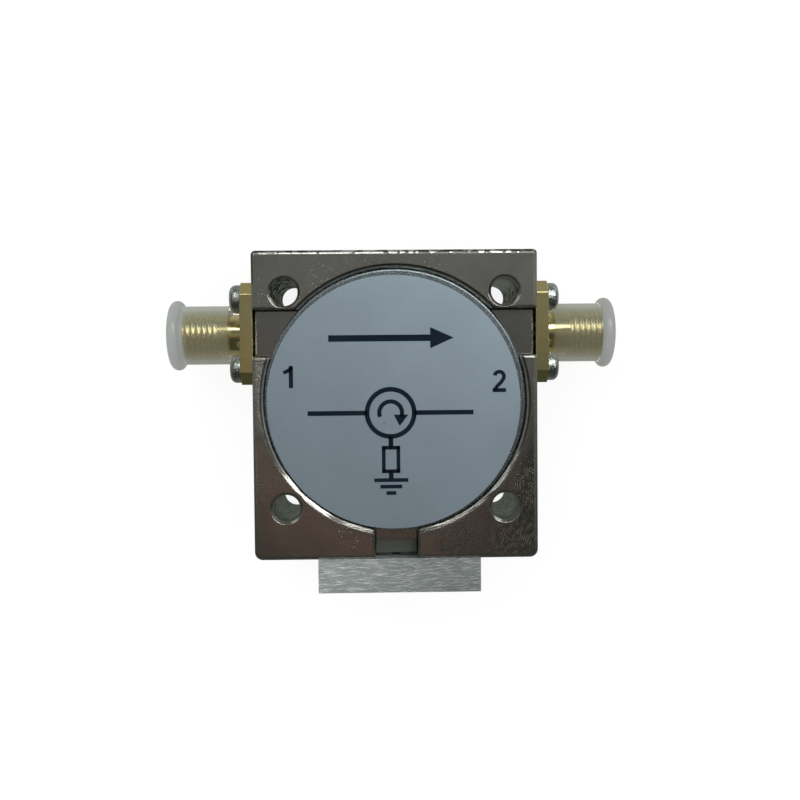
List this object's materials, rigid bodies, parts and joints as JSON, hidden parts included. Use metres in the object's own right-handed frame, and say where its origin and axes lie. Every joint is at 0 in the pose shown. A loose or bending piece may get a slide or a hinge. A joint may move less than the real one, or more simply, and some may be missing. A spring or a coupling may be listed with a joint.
{
  "type": "coaxial isolator",
  "caption": "Square-bodied coaxial isolator with a screw-in round lid, two capped threaded coaxial ports on opposite sides and a load block on the front.",
  "frame": {"origin": "centre of the four mounting holes, on the cavity axis, at the base face", "axes": "+Z out of the base through the lid and label, +X towards port 2, +Y away from the load block"},
  "size_m": [0.0575, 0.0421, 0.015],
  "materials": {
    "nickel_plate": "nickel plated, milled",
    "lid_plate": "nickel plated, turned",
    "label_film": "matt silver-grey film with dark print",
    "magnet": "ground",
    "pole_steel": "plated, satin",
    "ferrite": "lapped",
    "spacer": "turned",
    "capacitor": "matt",
    "conductor": "silver plated",
    "gold_plate": "gold plated, satin",
    "insulator": "smooth",
    "screw_steel": "plated, bright",
    "cap_plastic": "translucent moulded",
    "load_metal": "sawn and brushed",
    "resistor": "matt"
  },
  "bodies": {
    "root": {"housing": "nickel_plate", "lid": "lid_plate", "label": "label_film", "lower_magnet": "magnet", "lower_pole_plate": "pole_steel", "lower_ferrite": "ferrite", "lower_spacer_ring": "spacer", "right_capacitor": "capacitor", "left_capacitor": "capacitor", "load_capacitor": "capacitor", "centre_conductor": "conductor", "upper_ferrite": "ferrite", "upper_spacer_ring": "spacer", "upper_pole_plate": "pole_steel", "upper_magnet": "magnet", "compensation_disc": "pole_steel", "left_connector": "gold_plate", "left_insulator": "insulator", "left_contact": "gold_plate", "left_flange_screws": "screw_steel", "left_slot_plug": "nickel_plate", "left_dust_cap": "cap_plastic", "right_connector": "gold_plate", "right_insulator": "insulator", "right_contact": "gold_plate", "right_flange_screws": "screw_steel", "right_slot_plug": "nickel_plate", "right_dust_cap": "cap_plastic", "load_block": "load_metal", "load_resistor": "resistor", "load_lead": "conductor", "load_screws": "screw_steel", "load_slot_plug": "nickel_plate"}
  },
  "joints": []
}
